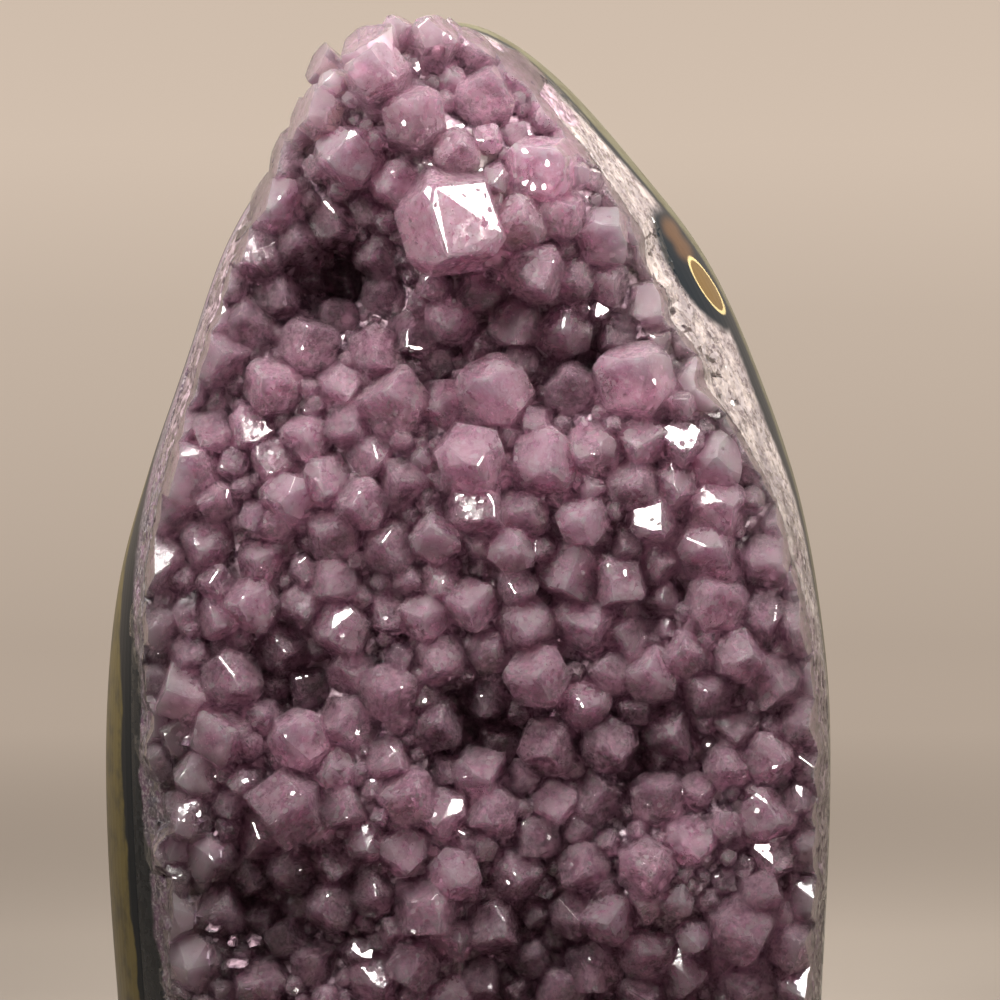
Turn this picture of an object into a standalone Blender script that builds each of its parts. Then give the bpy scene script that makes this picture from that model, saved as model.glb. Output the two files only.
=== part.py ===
"""A polished amethyst cluster: a piece of geode wall that stands on a flat cut base.

Its front is a crust of amethyst points grown together, its back is the agate and basalt rind that they
grew on, and its outer edge is ground round and polished, through the crust and the rind alike.
Lengths are in metres, +Z is up, and the crystals face -Y.
"""

import math
import random

import bmesh
import bpy
import numpy as np
from mathutils import Matrix, Vector, noise

MM = 0.001

# The outline seen from the front, from the left foot over the top to the right foot, in millimetres: x, z,
# how far in the ground edge reaches, and how far crystals hang over it.
ARCH = (
    (-63.5, -12, 40, 0), (-65.5, 25, 40, 0), (-68.2, 66, 40, 0), (-68.4, 96, 38, 0), (-65.8, 121, 30, 0),
    (-60.0, 142, 20, 0), (-52.6, 163, 15, 0), (-45.2, 184, 12, 0), (-36.5, 199, 14, 2), (-29.5, 208, 12, 9),
    (-25.0, 217, 12, 9), (-17.0, 223, 12, 9), (-6.5, 226, 12, 8), (4.5, 224.5, 12, 2), (17.6, 215.2, 13, 0),
    (32.8, 198.3, 20, 0), (45.1, 182, 34, 0), (54.6, 161.5, 30, 0), (62.8, 137, 17, 0), (67.3, 110, 10, 0),
    (68.4, 85, 9, 0), (67.2, 50, 9, 0), (64.0, -12, 10, 0),
)
HEIGHT = 226 * MM
HALF_WIDTH = 69 * MM
SPINE_X = -1 * MM
SPINE_TOP = 150 * MM
CURVE_STEPS = 9
FLANK_STEPS = 10
CAP_STEPS = 17

# The ground edge, as a quarter ellipse in from the outline. Its polish ends at a share of its reach. Rings of
# points follow it at shares of its reach, and further in at shares of the way to the spine.
EDGE_BACK = 14 * MM
EDGE_RISE = 48 * MM
POLISH_SHARE = 0.36
POLISH_STEEP = 1.7
EDGE_RINGS = (0, 0.012, 0.045, 0.1, 0.2, 0.36, 0.7)
EDGE_RING_LIMIT = 0.45
INNER_RINGS = (0.55, 0.8, 1.0)

# The back of the rind: how it rounds in from the side, and its lumps.
BACK_REACH = 24 * MM
BACK_RISE = 19 * MM
BACK_FOOT = 30 * MM
BACK_TOP = 16 * MM
BACK_LUMP = 5 * MM
BACK_LUMP_SIZE = 24 * MM
BACK_SMALL_LUMP = 2.5 * MM
BACK_SMALL_LUMP_SIZE = 10 * MM
BACK_CELL = 11 * MM

# The blocks that trim the bodies run past them on all sides.
BLOCK_HALF_WIDTH = 84 * MM
BLOCK_LOW = -14 * MM
BLOCK_HIGH = 246 * MM
BLOCK_BACK = 70 * MM
BLOCK_FRONT = -70 * MM

FLAT_ANGLE = math.radians(1)

# The seat is where the crust meets the rind.
SEAT_Y = -8 * MM
SEAT_LEFT = -8 * MM
SEAT_RIGHT = -1.5 * MM
SEAT_REACH = 14 * MM
SEAT_SIDE = 45 * MM
SEAT_GAP = 0.3 * MM
SEAT_CELL = 12 * MM
EYE_PLACE = (46 * MM, 180 * MM)
EYE_SIZE = 13 * MM
EYE_RISE = 9 * MM

# The bed is the surface that the crystals stand on: a crown, with bumps and hollows of x, z, spread, height.
BED_RIM = 22 * MM
BED_CROWN = 27 * MM
BED_REACH = 17 * MM
BED_ROUGH = 2.2 * MM
BED_ROUGH_SIZE = 15 * MM
BED_CELL = 10 * MM
SLOPE_STEP = 3 * MM
BUMPS = (
    (2, 196, 15, 10), (-17, 214, 12, 11), (17, 186, 12, 4), (-22, 179, 11, -11), (-2, 164, 9, -6),
    (22, 163, 7, -6), (-2, 145, 16, 4), (30, 148, 12, 4), (22, 119, 8, -5), (-33, 105, 9, -6),
    (3, 96, 10, -7), (33, 92, 10, -6), (-20, 88, 13, 4), (38, 68, 11, 4), (-34, 66, 11, -7),
    (16, 54, 12, -6), (-8, 66, 9, 3), (-22, 30, 12, 4), (26, 24, 13, 4), (2, 14, 10, -4),
)

# Large crystals, placed one by one: x, z, radius, lean to the right, lean up, spin, rise over the bed.
LARGE_CRYSTALS = (
    (-2.5, 188.5, 10.5, -8, 16, 8, 10), (5.5, 158, 7.8, -4, 4, 28, 7), (-48.5, 153.5, 6.6, -30, 2, 12, 5),
    (-12.5, 156, 7.2, -12, 10, 40, 6), (0.5, 147, 7.2, 6, -14, 3, 7), (14, 146.5, 7.0, 10, -4, 50, 6),
    (30, 160, 8.2, 14, 12, 18, 6.5), (12, 181, 6.2, 12, -6, 33, 6), (12.5, 197.5, 7.4, 16, 14, 5, 6),
    (-19.5, 201, 6.6, -16, 4, 22, 7), (-16, 222.5, 5.6, -14, 34, 9, 8), (-15, 213.5, 6.0, -8, 26, 44, 7),
    (-6.5, 220.5, 4.9, 6, 36, 15, 7), (1, 222, 5.0, 14, 40, 31, 5), (-26, 217, 4.2, -34, 26, 2, 7),
    (-28, 207, 4.6, -40, 12, 26, 6), (-24, 208, 5.4, -24, 16, 51, 6), (-9, 206.5, 6.4, -4, 20, 12, 6),
    (3, 210, 6.4, 10, 24, 38, 5), (24, 186, 6.0, 20, 10, 20, 5), (33.5, 174, 5.4, 18, -8, 46, 4),
    (20.5, 117.5, 6.3, 6, -8, 10, 7), (13, 107, 6.6, 2, 6, 29, 7.5), (25, 95.5, 6.0, 4, -12, 0, 6.5),
    (37, 96.5, 6.0, 12, 8, 36, 6), (1.5, 89, 6.0, 14, -16, 14, 6.5), (-6, 98, 6.0, -8, 10, 45, 6),
    (-29, 95, 6.4, -14, 6, 19, 6), (-31.5, 84.5, 7.6, -10, -10, 3, 6.5), (-48, 89, 5.6, -26, 0, 34, 4),
    (26, 63.5, 5.6, 8, 4, 24, 6), (48.5, 62, 7.2, 16, -8, 6, 7.5), (51.5, 67, 4.8, 22, 12, 48, 6.5),
    (62, 75.5, 5.6, 34, 2, 17, 4), (-9, 56.5, 5.2, -6, -18, 27, 6), (-23, 65, 5.4, -8, 4, 41, 6),
    (-31, 72, 6.0, -12, 8, 11, 5), (43, 130, 6.6, 18, 6, 30, 5), (44.5, 137.5, 6.2, 22, 2, 8, 5),
    (54, 128, 5.6, 28, -4, 21, 4), (33, 136, 5.0, 8, -10, 52, 5), (-31.5, 140, 5.4, -14, -8, 16, 5.5),
    (-18, 138.5, 5.6, -6, 4, 37, 5.5), (21, 135.5, 5.4, 2, 8, 23, 5.5), (-44, 139, 4.6, -26, -4, 4, 4),
    (8, 130, 5.0, 4, 12, 49, 5), (-7, 118, 5.2, -8, 2, 13, 5), (-38, 120, 6.0, -16, 6, 32, 5),
)

# The rest is strewn, in rounds of shrinking size: smallest radius, largest radius, tries.
STREWN = ((5.4, 6.6, 900), (4.6, 5.6, 3000))
STREW_SEED = 41
STREW_EDGE = 3.5 * MM
STREW_LEAN = 13
STREW_RISE = (0.3, 0.9)
CLOSENESS = 0.62

# A crystal is a six-sided prism under six rhomb faces, three of them large. A face is shifted outward by a
# share of the radius, which makes it small, and a crystal has more or less of such unevenness.
PRISM_SIDES = 6
SIDE_ANGLE = 2 * math.pi / PRISM_SIDES
RHOMB_SLOPE = math.radians(51.8)
ROOT_DEPTH = 3.2
ROOT_TAPER = 0.92
TIP_RISE = 0.7
SMALL_FACE_SHIFT = (0.02, 0.22)
LARGE_FACE_SHIFT = (-0.10, 0.04)
UNEVENNESS = (0.6, 1.4)

# Crystals in one set have their tips this much further apart than their reach, so that they never touch.
SET_REACH = 1.9
SET_GAP = 3 * MM

# How far the meshes are thinned, and how the last slivers are mended.
CRUST_TRIANGLES = 8000
RIND_TRIANGLES = 1100
SPINE_WELD = 0.01 * MM
WELD = 0.001 * MM
MEND_ROUNDS = 8
FOOT_SNAP = 0.2 * MM

# The body is moved by these, so that its box is centred over the origin.
CENTRE_X = 0.1 * MM
CENTRE_Y = 8.1 * MM

CRYSTAL_COLOUR = (0.36, 0.21, 0.33, 1.0)
CRYSTAL_ROUGHNESS = 0.15
RIND_COLOUR = (0.10, 0.10, 0.06, 1.0)
RIND_ROUGHNESS = 0.35


def clear_scene():
    """Removes whatever the scene holds."""
    for obj in list(bpy.data.objects):
        bpy.data.objects.remove(obj)


def smooth_curve(points, steps):
    """A Catmull-Rom curve through the points, as an array."""
    points = np.array(points, float)
    padded = np.vstack([2 * points[0] - points[1], points, 2 * points[-1] - points[-2]])
    t = np.linspace(0, 1, steps, endpoint=False)[:, None]
    pieces = []
    for a, b, c, d in zip(padded, padded[1:], padded[2:], padded[3:]):
        pieces.append(0.5 * (2 * b + (c - a) * t + (2 * a - 5 * b + 4 * c - d) * t**2
                             + (3 * b - a - 3 * c + d) * t**3))
    return np.vstack([*pieces, points[-1:]])


def arch_curve(overhanging):
    """The outline as x, z and reach, moved out by its overhang where that is asked for."""
    points = []
    for x, z, reach, overhang in ARCH:
        point = np.array([x, z]) * MM
        away = point - np.array([SPINE_X, SPINE_TOP])
        shift = overhang * MM * away / np.linalg.norm(away)
        points.append([*(point + shift * overhanging), reach * MM])
    return smooth_curve(points, CURVE_STEPS)


def arch_stations(curve):
    """Points along the outline: level with each other on the flanks, and evenly spaced over the top."""
    apex = int(np.argmax(curve[:, 1]))
    levels = np.linspace(0, SPINE_TOP, FLANK_STEPS + 1)
    rising, falling = curve[:apex], curve[apex:][::-1]
    left = np.column_stack([np.interp(levels, rising[:, 1], rising[:, k]) for k in range(3)])
    right = np.column_stack([np.interp(levels, falling[:, 1], falling[:, k]) for k in range(3)])[::-1]
    cap = np.vstack([left[-1], curve[curve[:, 1] > SPINE_TOP], right[0]])
    along = np.concatenate([[0], np.cumsum(np.linalg.norm(np.diff(cap[:, :2], axis=0), axis=1))])
    even = np.linspace(0, along[-1], CAP_STEPS + 1)
    cap = np.column_stack([np.interp(even, along, cap[:, k]) for k in range(3)])
    return np.vstack([left, cap[1:-1], right])


def inset_and_reach(curve, x, z):
    """How far the point lies inside the outline, below zero outside it, and the edge's reach there."""
    starts, spans = curve[:-1], np.diff(curve, axis=0)
    flat = spans[:, :2]
    from_start = np.array([x, z]) - starts[:, :2]
    share = np.clip((from_start * flat).sum(axis=1) / (flat**2).sum(axis=1), 0, 1)
    away = from_start - flat * share[:, None]
    distances = np.linalg.norm(away, axis=1)
    k = int(np.argmin(distances))
    side = flat[k][0] * away[k][1] - flat[k][1] * away[k][0]
    return math.copysign(distances[k], -side), starts[k][2] + spans[k][2] * share[k]


def edge_y(inset, reach):
    """The ground and polished edge, at this distance in from the outline."""
    left = 1 - min(max(inset, 0) / reach, 1)
    return EDGE_BACK - EDGE_RISE * math.sqrt(1 - left * left)


def trim_y(inset, reach):
    """The polished edge, and past its end a slope that stays in front of the crystals."""
    end = POLISH_SHARE * reach
    return edge_y(min(inset, end), reach) - max(inset - end, 0) * POLISH_STEEP


def side_y(inset):
    """The side and the rounding towards the back, at this distance in from the outline."""
    left = 1 - min(max(inset, 0) / BACK_REACH, 1)
    return EDGE_BACK + BACK_RISE * math.sqrt(1 - left * left)


def back_y(x, z):
    """The lumpy back of the rind, which leans forward towards the top."""
    height = min(max(z / HEIGHT, 0), 1)
    lump = BACK_LUMP * noise.noise(Vector((x, HEIGHT, z)) / BACK_LUMP_SIZE)
    small_lump = BACK_SMALL_LUMP * noise.noise(Vector((x, 0, z)) / BACK_SMALL_LUMP_SIZE)
    return BACK_FOOT + (BACK_TOP - BACK_FOOT) * height + lump + small_lump


def seat_y(curve, x, z):
    """Where the crust meets the rind."""
    across = (min(max(x / SEAT_SIDE, -1), 1) + 1) / 2
    rim = SEAT_LEFT + (SEAT_RIGHT - SEAT_LEFT) * across
    inset, _reach = inset_and_reach(curve, x, z)
    eye = ((x - EYE_PLACE[0]) ** 2 + (z - EYE_PLACE[1]) ** 2) / EYE_SIZE**2
    return SEAT_Y + rim * math.exp(-((inset / SEAT_REACH) ** 2)) - EYE_RISE * math.exp(-eye)


def bed_y(curve, x, z):
    """The surface that the crystals stand on."""
    inset = max(inset_and_reach(curve, x, z)[0], 0)
    crown = BED_RIM + (BED_CROWN - BED_RIM) * (1 - math.exp(-inset / BED_REACH))
    for bump_x, bump_z, spread, height in BUMPS:
        away = ((x / MM - bump_x) ** 2 + (z / MM - bump_z) ** 2) / spread**2
        crown += height * MM * math.exp(-away)
    return -crown - BED_ROUGH * noise.noise(Vector((x, HEIGHT, z)) / BED_ROUGH_SIZE)


def bed_normal(curve, x, z):
    """The outward direction of the bed there, from its slope."""
    slope_x = (bed_y(curve, x + SLOPE_STEP, z) - bed_y(curve, x - SLOPE_STEP, z)) / (2 * SLOPE_STEP)
    slope_z = (bed_y(curve, x, z + SLOPE_STEP) - bed_y(curve, x, z - SLOPE_STEP)) / (2 * SLOPE_STEP)
    return Vector((slope_x, -1, slope_z)).normalized()


def new_object(name, mesh_build, collection):
    """A new object from a bmesh, which is freed."""
    mesh = bpy.data.meshes.new(name)
    mesh_build.to_mesh(mesh)
    mesh_build.free()
    obj = bpy.data.objects.new(name, mesh)
    collection.objects.link(obj)
    return obj


def arch_solid(name, curve, front, collection):
    """A closed body over the arch, flat at z = 0, with a front depth that is a function of (inset, reach)."""
    stations = arch_stations(curve)
    last = len(EDGE_RINGS) + len(INNER_RINGS) - 1
    rings = [("front", k) for k in range(last, -1, -1)] + [("back", k) for k in range(1, last + 1)]
    build = bmesh.new()
    bmesh.ops.create_grid(build, x_segments=len(stations) - 1, y_segments=len(rings) - 1, size=1)
    for vert in build.verts:
        rim_x, rim_z, reach = stations[round((vert.co.x + 1) / 2 * (len(stations) - 1))]
        side, ring = rings[round((vert.co.y + 1) / 2 * (len(rings) - 1))]
        rim = np.array([rim_x, rim_z])
        inward = np.array([SPINE_X, min(rim_z, SPINE_TOP)]) - rim
        span = np.linalg.norm(inward)
        shares = [min(share * reach / span, EDGE_RING_LIMIT) for share in EDGE_RINGS] + list(INNER_RINGS)
        x, z = rim + inward * shares[ring]
        inset = inset_and_reach(curve, x, z)[0] if ring else 0.0
        depth = front(inset, reach) if side == "front" else side_y(inset)
        vert.co = (x, depth, z)
    bmesh.ops.remove_doubles(build, verts=build.verts, dist=SPINE_WELD)
    bmesh.ops.holes_fill(build, edges=build.edges, sides=0)
    bmesh.ops.recalc_face_normals(build, faces=build.faces)
    return new_object(name, build, collection)


def field_block(name, depth, cell, back, collection):
    """A block whose front follows a depth function of (x, z) and whose back is flat, larger than the arch."""
    columns = round(2 * BLOCK_HALF_WIDTH / cell)
    rows = round((BLOCK_HIGH - BLOCK_LOW) / cell)
    build = bmesh.new()
    bmesh.ops.create_grid(build, x_segments=columns, y_segments=rows, size=1)
    for vert in build.verts:
        x = vert.co.x * BLOCK_HALF_WIDTH
        z = BLOCK_LOW + (vert.co.y + 1) / 2 * (BLOCK_HIGH - BLOCK_LOW)
        vert.co = (x, depth(x, z), z)
    sheet = bmesh.ops.extrude_face_region(build, geom=build.faces[:])["geom"]
    flat = {item for item in sheet if isinstance(item, bmesh.types.BMVert)}
    for vert in flat:
        vert.co.y = back
    bmesh.ops.dissolve_limit(build, angle_limit=FLAT_ANGLE,
                             verts=[vert for vert in build.verts if vert in flat],
                             edges=[edge for edge in build.edges if flat.issuperset(edge.verts)])
    bmesh.ops.recalc_face_normals(build, faces=build.faces)
    return new_object(name, build, collection)


def crystal(radius, length, rng):
    """One quartz point along +Z with its tip near the origin, as a bmesh."""
    build = bmesh.new()
    bmesh.ops.create_cone(build, cap_ends=True, segments=PRISM_SIDES, radius1=radius * ROOT_TAPER,
                          radius2=radius, depth=length)
    bmesh.ops.translate(build, verts=build.verts, vec=(0, 0, -length / 2))
    uneven = rng.uniform(*UNEVENNESS)
    for side in range(PRISM_SIDES):
        turn = (side + 0.5) * SIDE_ANGLE
        offset = radius * uneven * rng.uniform(*(LARGE_FACE_SHIFT if side % 2 else SMALL_FACE_SHIFT))
        outward = Vector((math.cos(turn), math.sin(turn), 0)) * math.sin(RHOMB_SLOPE)
        outward.z = math.cos(RHOMB_SLOPE)
        bmesh.ops.bisect_plane(build, geom=build.verts[:] + build.edges[:] + build.faces[:],
                               plane_co=outward * offset, plane_no=outward, clear_outer=True)
        bmesh.ops.holes_fill(build, edges=build.edges[:], sides=0)
    return build


def strewn_sites(curve, rng):
    """The sites of all crystals, large ones first: x, z, radius, lean, spin and rise."""
    sites = [(x * MM, z * MM, r * MM, lean_x, lean_z, spin, rise * MM)
             for x, z, r, lean_x, lean_z, spin, rise in LARGE_CRYSTALS]
    for smallest, largest, tries in STREWN:
        for _ in range(tries):
            x = rng.uniform(-HALF_WIDTH, HALF_WIDTH)
            z = rng.uniform(0, HEIGHT)
            radius = rng.uniform(smallest, largest) * MM
            lean_x, lean_z = rng.gauss(0, STREW_LEAN), rng.gauss(0, STREW_LEAN)
            spin, rise = rng.uniform(0, 360), rng.uniform(*STREW_RISE) * radius
            if inset_and_reach(curve, x, z)[0] < STREW_EDGE:
                continue
            if all(math.hypot(x - s[0], z - s[1]) > CLOSENESS * (radius + s[2]) for s in sites):
                sites.append((x, z, radius, lean_x, lean_z, spin, rise))
    return sites


def placed(curve, site):
    """(matrix, tip, radius, length) of the crystal at a site. The matrix turns +Z to the crystal's axis."""
    x, z, radius, lean_x, lean_z, spin, rise = site
    foot = Vector((x, bed_y(curve, x, z), z))
    outward = (bed_normal(curve, x, z) + Vector((0, -1, 0))).normalized()
    axis = (Matrix.Rotation(math.radians(lean_x), 3, "Z") @ Matrix.Rotation(math.radians(-lean_z), 3, "X")
            @ outward)
    tip = foot + axis * (rise + radius * TIP_RISE)
    turn = axis.to_track_quat("Z", "Y").to_matrix().to_4x4()
    matrix = Matrix.Translation(tip) @ turn @ Matrix.Rotation(math.radians(spin), 4, "Z")
    return matrix, tip, radius, radius * ROOT_DEPTH + rise


def crystal_sets(curve, collection):
    """All crystals as a few meshes. Those in one mesh stand clear of each other."""
    rng = random.Random(STREW_SEED)
    sites = strewn_sites(curve, rng)
    groups = []
    for site in sites:
        item = placed(curve, site)
        for group in groups:
            if all((item[1] - other[1]).length > SET_REACH * (item[2] + other[2]) + SET_GAP
                   for other in group):
                group.append(item)
                break
        else:
            groups.append([item])
    objects = []
    for number, group in enumerate(groups):
        build = bmesh.new()
        for matrix, _tip, radius, length in group:
            one = crystal(radius, length, rng)
            bmesh.ops.transform(one, matrix=matrix, verts=one.verts)
            mesh = bpy.data.meshes.new("crystal")
            one.to_mesh(mesh)
            one.free()
            build.from_mesh(mesh)
            bpy.data.meshes.remove(mesh)
        objects.append(new_object(f"crystals_{number}", build, collection))
    return objects


def combine(obj, operation, others, solver="EXACT"):
    """Adds a Boolean modifier for each of the others."""
    for other in others:
        step = obj.modifiers.new(other.name, "BOOLEAN")
        step.operation = operation
        step.object = other
        step.solver = solver


def apply_modifiers(obj):
    """Replaces the object's mesh by the evaluated one."""
    graph = bpy.context.evaluated_depsgraph_get()
    mesh = bpy.data.meshes.new_from_object(obj.evaluated_get(graph))
    obj.modifiers.clear()
    obj.data = mesh


def bodies(build):
    """The separate bodies of a bmesh, as lists of points, with the one of most points first."""
    reached = set()
    groups = []
    for start in build.verts:
        if start in reached:
            continue
        reached.add(start)
        group = [start]
        for vert in group:
            for other in (edge.other_vert(vert) for edge in vert.link_edges):
                if other not in reached:
                    reached.add(other)
                    group.append(other)
        groups.append(group)
    return sorted(groups, key=len, reverse=True)


def mend(build):
    """Cuts out the points where the surface touches or folds onto itself, and closes the holes again."""
    for _ in range(MEND_ROUNDS):
        bmesh.ops.remove_doubles(build, verts=build.verts, dist=WELD)
        faulty = [vert for vert in build.verts if not all(edge.is_manifold for edge in vert.link_edges)]
        if not faulty:
            return
        bmesh.ops.delete(build, geom=faulty, context="VERTS")
        bmesh.ops.holes_fill(build, edges=build.edges, sides=0)
        bmesh.ops.triangulate(build, faces=build.faces)


def thin_mesh(obj, triangles):
    """Thins the mesh to this many triangles, flat stretches first."""
    build = bmesh.new()
    build.from_mesh(obj.data)
    bmesh.ops.triangulate(build, faces=build.faces)
    thin = obj.modifiers.new("thin", "DECIMATE")
    thin.ratio = min(triangles / len(build.faces), 1)
    build.to_mesh(obj.data)
    build.free()
    thin.use_collapse_triangulate = True
    apply_modifiers(obj)


def mend_mesh(obj):
    """Drops the crumbs that the trimming cut loose, flattens the foot and mends the surface."""
    build = bmesh.new()
    build.from_mesh(obj.data)
    bmesh.ops.triangulate(build, faces=build.faces)
    for vert in build.verts:
        if vert.co.z < FOOT_SNAP:
            vert.co.z = 0
    mend(build)
    for crumb in bodies(build)[1:]:
        bmesh.ops.delete(build, geom=crumb, context="VERTS")
    bmesh.ops.recalc_face_normals(build, faces=build.faces)
    build.to_mesh(obj.data)
    build.free()


def finish(obj, name, colour, roughness):
    """Names the part, gives it its material and moves it over the origin."""
    material = bpy.data.materials.new(name)
    material.use_nodes = True
    shader = material.node_tree.nodes["Principled BSDF"]
    shader.inputs["Base Color"].default_value = colour
    shader.inputs["Roughness"].default_value = roughness
    shader.inputs["Metallic"].default_value = 0.0
    obj.data.materials.clear()
    obj.data.materials.append(material)
    obj.name = name
    obj.data.transform(Matrix.Translation((CENTRE_X, CENTRE_Y, 0)))


def new_collection(name):
    """A new collection in the scene."""
    collection = bpy.data.collections.new(name)
    bpy.context.scene.collection.children.link(collection)
    return collection


def main():
    """Builds the rind and the crust."""
    clear_scene()
    parts = new_collection("amethyst_cluster")
    tools = new_collection("tools")
    outline = arch_curve(0)
    overhang = arch_curve(1)

    rind = arch_solid("rind", outline, edge_y, parts)
    combine(rind, "INTERSECT", [field_block("lumps", back_y, BACK_CELL, BLOCK_FRONT, tools)])
    apply_modifiers(rind)
    thin_mesh(rind, RIND_TRIANGLES)
    seat = field_block("seat", lambda x, z: seat_y(outline, x, z), SEAT_CELL, BLOCK_BACK, tools)
    combine(rind, "INTERSECT", [seat])
    apply_modifiers(rind)

    # The exact solver loses the bed among so many crossing crystals, so the crust uses the other one.
    crust = field_block("crust", lambda x, z: bed_y(outline, x, z), BED_CELL, BLOCK_BACK, parts)
    combine(crust, "INTERSECT", [arch_solid("arch", outline, trim_y, tools)], "MANIFOLD")
    combine(crust, "UNION", crystal_sets(outline, tools), "MANIFOLD")
    combine(crust, "INTERSECT", [arch_solid("trim", overhang, trim_y, tools)], "MANIFOLD")
    apply_modifiers(crust)
    thin_mesh(crust, CRUST_TRIANGLES)
    cutter = field_block("cutter", lambda x, z: seat_y(outline, x, z) - SEAT_GAP, SEAT_CELL, BLOCK_BACK,
                         tools)
    combine(crust, "DIFFERENCE", [cutter], "MANIFOLD")
    apply_modifiers(crust)

    for obj in list(tools.objects):
        bpy.data.objects.remove(obj)
    mend_mesh(rind)
    mend_mesh(crust)
    finish(rind, "agate_rind", RIND_COLOUR, RIND_ROUGHNESS)
    finish(crust, "amethyst_crust", CRYSTAL_COLOUR, CRYSTAL_ROUGHNESS)


main()
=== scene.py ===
"""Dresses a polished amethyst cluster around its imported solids.

The slab has three visible pieces: the amethyst points grown together, the bed of pale quartz that they stand
on, with its ground and polished edge, and the agate and basalt rind behind. Lengths are in metres, +Z is up,
and the points face -Y.
"""

from __future__ import annotations

import logging
import math
import random
from collections.abc import Callable
from dataclasses import dataclass
from enum import Enum
from functools import cached_property

import bmesh
import bpy
import numpy as np
from mathutils import Matrix, Vector, noise

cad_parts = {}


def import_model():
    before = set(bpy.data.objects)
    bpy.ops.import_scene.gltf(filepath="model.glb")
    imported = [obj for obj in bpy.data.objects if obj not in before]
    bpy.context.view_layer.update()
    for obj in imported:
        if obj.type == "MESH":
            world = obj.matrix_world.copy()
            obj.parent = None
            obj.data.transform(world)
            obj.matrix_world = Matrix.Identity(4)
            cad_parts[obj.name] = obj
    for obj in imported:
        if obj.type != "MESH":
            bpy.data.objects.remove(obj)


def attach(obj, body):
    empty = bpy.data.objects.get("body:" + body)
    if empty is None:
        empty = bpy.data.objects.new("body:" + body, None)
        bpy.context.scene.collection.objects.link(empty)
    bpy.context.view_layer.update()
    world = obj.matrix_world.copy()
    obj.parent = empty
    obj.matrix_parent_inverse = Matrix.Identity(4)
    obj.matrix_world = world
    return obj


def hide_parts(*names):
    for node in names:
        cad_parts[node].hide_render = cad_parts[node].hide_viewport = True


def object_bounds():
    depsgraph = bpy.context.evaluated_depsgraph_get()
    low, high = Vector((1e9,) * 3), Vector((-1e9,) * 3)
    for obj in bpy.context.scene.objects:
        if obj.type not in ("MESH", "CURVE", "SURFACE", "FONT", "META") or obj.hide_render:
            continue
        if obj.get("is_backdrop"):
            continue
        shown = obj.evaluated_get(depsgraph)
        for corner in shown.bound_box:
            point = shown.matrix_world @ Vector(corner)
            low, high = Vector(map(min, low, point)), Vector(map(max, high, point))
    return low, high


Socket = bpy.types.NodeSocket
LOG = logging.getLogger("amethyst_cluster")
MM = 0.001
BODY = "root"


class Joining(Enum):
    """How one closed mesh is combined with another."""

    UNION = "UNION"
    INTERSECT = "INTERSECT"
    DIFFERENCE = "DIFFERENCE"


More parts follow.
